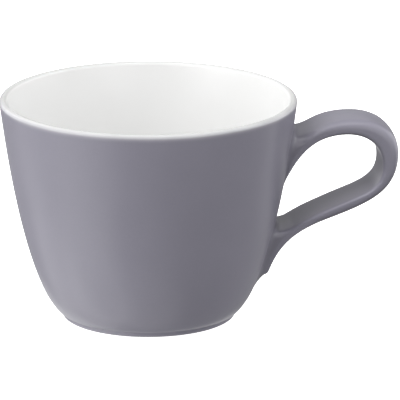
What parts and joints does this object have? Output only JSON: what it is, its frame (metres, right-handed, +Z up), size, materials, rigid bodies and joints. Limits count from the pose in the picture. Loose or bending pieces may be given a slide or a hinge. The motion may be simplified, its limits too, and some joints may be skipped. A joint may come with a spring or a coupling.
{
  "type": "espresso cup",
  "caption": "Footed porcelain espresso cup with a flared, rounded bowl and a looped strap handle, coloured glaze outside and white glaze inside.",
  "frame": {"origin": "on the table plane, under the middle of the box around cup and handle", "axes": "+Z up along the cup's axis, +X along the handle, away from the cup; +Y completes the right-handed frame"},
  "size_m": [0.0872, 0.065, 0.0494],
  "materials": {
    "porcelain": "bare fired porcelain, matt",
    "slip": "fired slip under glaze, matt",
    "white_glaze": "glossy white glaze",
    "mauve_glaze": "satin grey-mauve glaze"
  },
  "bodies": {
    "root": {"cup_body": "porcelain", "handle": "porcelain", "upper_slip_joint": "slip", "lower_slip_joint": "slip", "inner_glaze": "white_glaze", "outer_glaze": "mauve_glaze", "handle_glaze": "mauve_glaze", "base_glaze": "white_glaze"}
  },
  "joints": []
}
